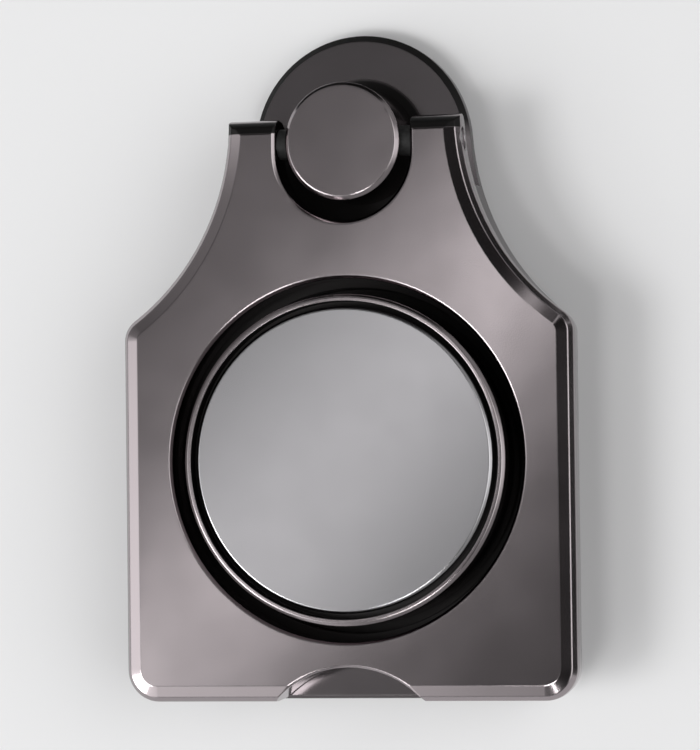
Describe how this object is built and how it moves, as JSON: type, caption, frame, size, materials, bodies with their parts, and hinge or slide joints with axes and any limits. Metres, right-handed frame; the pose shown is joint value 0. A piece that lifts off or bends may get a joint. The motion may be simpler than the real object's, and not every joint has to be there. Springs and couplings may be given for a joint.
{
  "type": "phone ring holder",
  "caption": "Tag-shaped metal ring plate that flips up on a hinge post and turns round a flush centre hub, stuck to the back of a phone as a finger loop and stand.",
  "frame": {"origin": "where the swivel axis meets the sticky face, below the centre of the finger hole", "axes": "+Z out of the sticky face towards the front, +Y from the hub to the hinge, +X to the right seen from the front"},
  "size_m": [0.0302, 0.0436, 0.0074],
  "materials": {
    "gunmetal": "satin-polished gun-metal plating on zinc alloy",
    "satin_disc": "fine satin",
    "plain_steel": "plain bright steel",
    "nylon": "matt black nylon",
    "foam_tape": "matt black foam tape"
  },
  "bodies": {
    "base": {"adhesive_pad": "foam_tape", "base_plate": "plain_steel", "thrust_washer": "nylon", "hub": "gunmetal", "hub_rivet": "plain_steel", "disc_spring": "plain_steel", "centre_disc": "satin_disc"},
    "swivel": {"swivel_plate": "gunmetal", "hinge_post": "gunmetal", "hinge_pin": "plain_steel", "friction_washer_left": "nylon", "friction_washer_right": "nylon"},
    "ring": {"ring_plate": "gunmetal"}
  },
  "joints": [
    {"name": "swivel_turn", "type": "hinge", "parent": "base", "child": "swivel", "pos_m": [0, 0, 0.0022], "axis": [0, 0, 1], "continuous": true},
    {"name": "ring_flip", "type": "hinge", "parent": "swivel", "child": "ring", "pos_m": [0, 0.0207, 0.0055], "axis": [-1, 0, 0], "range_deg": [0, 180]}
  ]
}
